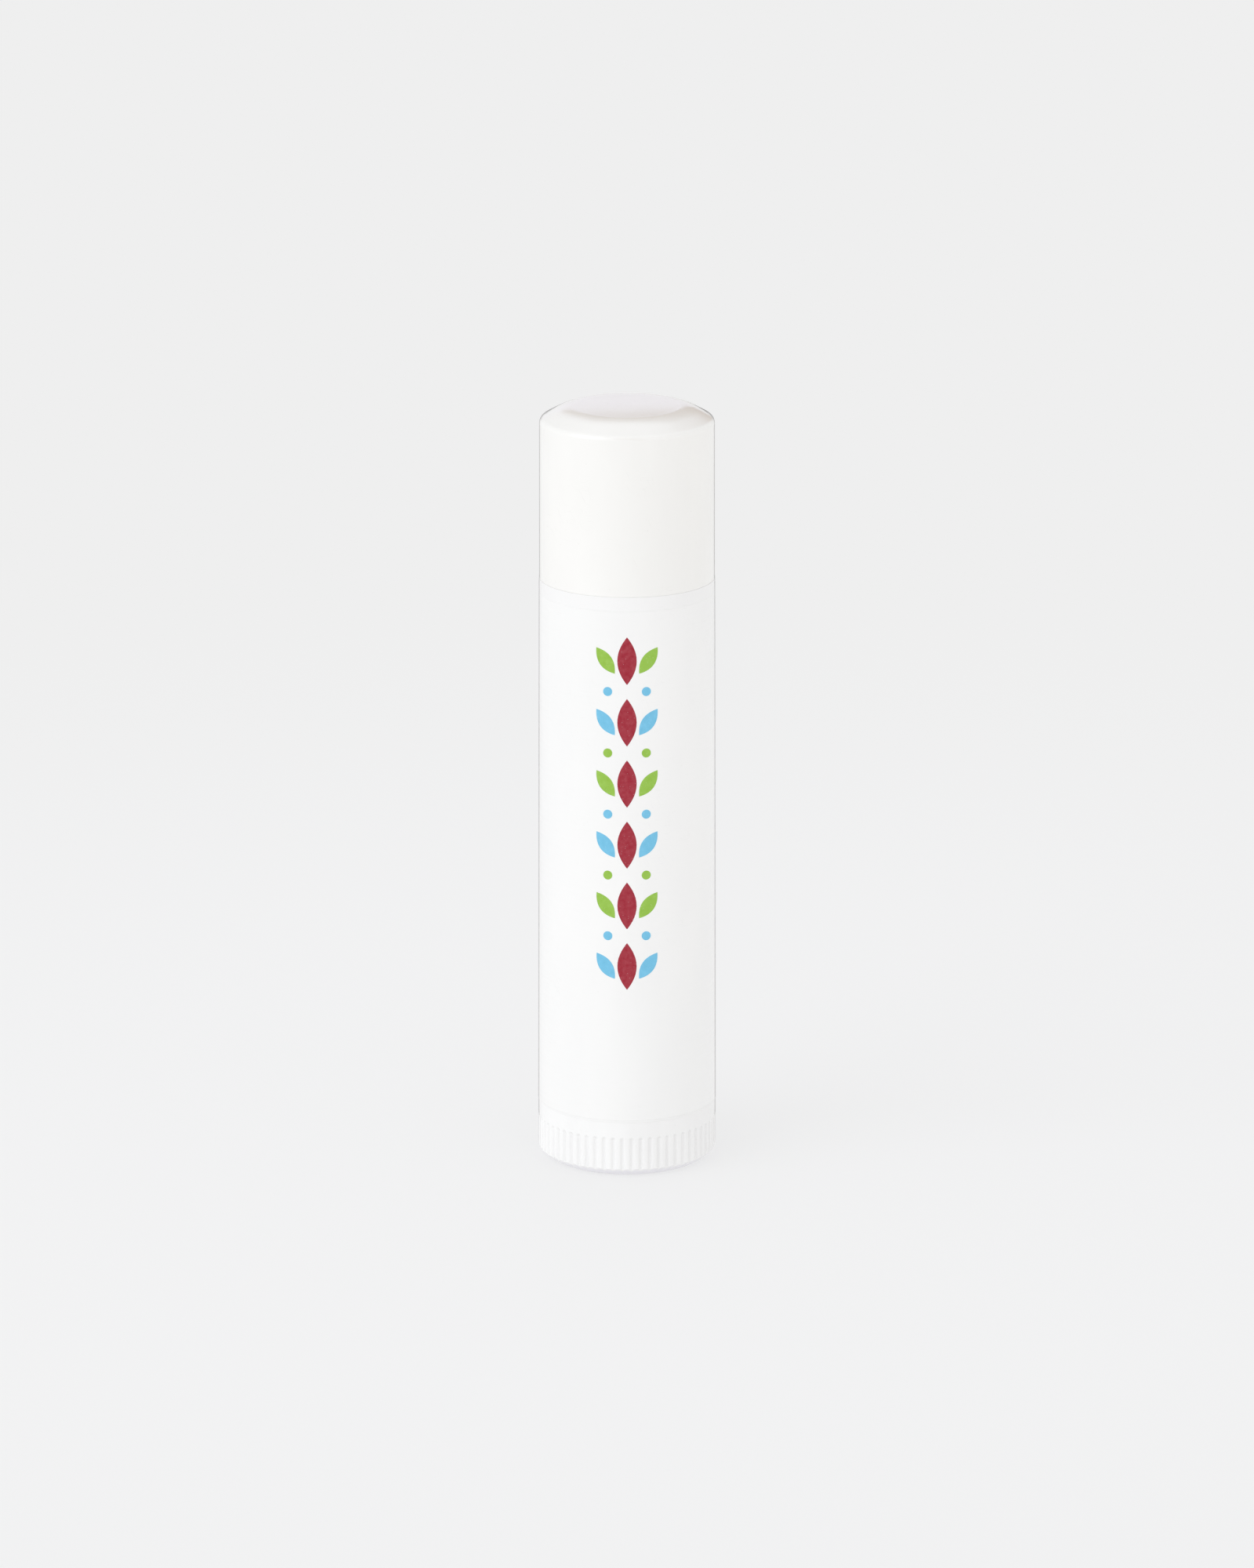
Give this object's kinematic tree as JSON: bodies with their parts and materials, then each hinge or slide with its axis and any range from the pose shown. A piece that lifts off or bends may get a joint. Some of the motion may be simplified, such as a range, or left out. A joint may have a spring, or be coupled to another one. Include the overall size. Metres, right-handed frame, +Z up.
{
  "type": "lip balm stick",
  "caption": "Round twist-up tube with a finely ribbed dial at its foot, a plain push-on cap, and inside it a stick of balm that a threaded spindle lifts.",
  "frame": {"origin": "centre of the dial's foot, on the surface that the tube stands on", "axes": "+Z up along the tube's axis, -Y towards the printed front of the label"},
  "size_m": [0.0164, 0.0164, 0.0704],
  "materials": {
    "cap_plastic": "smooth warm white polypropylene, satin",
    "barrel_plastic": "smooth white polypropylene, satin",
    "label_film": "printed white film, satin, with a plain coloured pattern",
    "dial_plastic": "white polypropylene with fine upright ribs",
    "carrier_plastic": "natural white polypropylene, matt",
    "balm": "pale wax, softly glossy"
  },
  "bodies": {
    "tube": {"barrel": "barrel_plastic", "wrap_label": "label_film"},
    "dial": {"dial_screw": "dial_plastic"},
    "carriage": {"carrier": "carrier_plastic", "balm_stick": "balm"},
    "cap": {"cap": "cap_plastic"}
  },
  "joints": [
    {"name": "dial_turn", "type": "hinge", "parent": "tube", "child": "dial", "pos_m": [0, 0, 0], "axis": [0, 0, 1], "range_deg": [0, 5400]},
    {"name": "carriage_rise", "type": "slide", "parent": "tube", "child": "carriage", "axis": [0, 0, 1], "range_m": [0, 0.048]},
    {"name": "cap_pull", "type": "slide", "parent": "carriage", "child": "cap", "axis": [0, 0, 1], "range_m": [0, 0.03]}
  ],
  "couplings": [
    {"joint": "dial_turn", "follows": "carriage_rise", "rad_per_m": 1963.5}
  ]
}
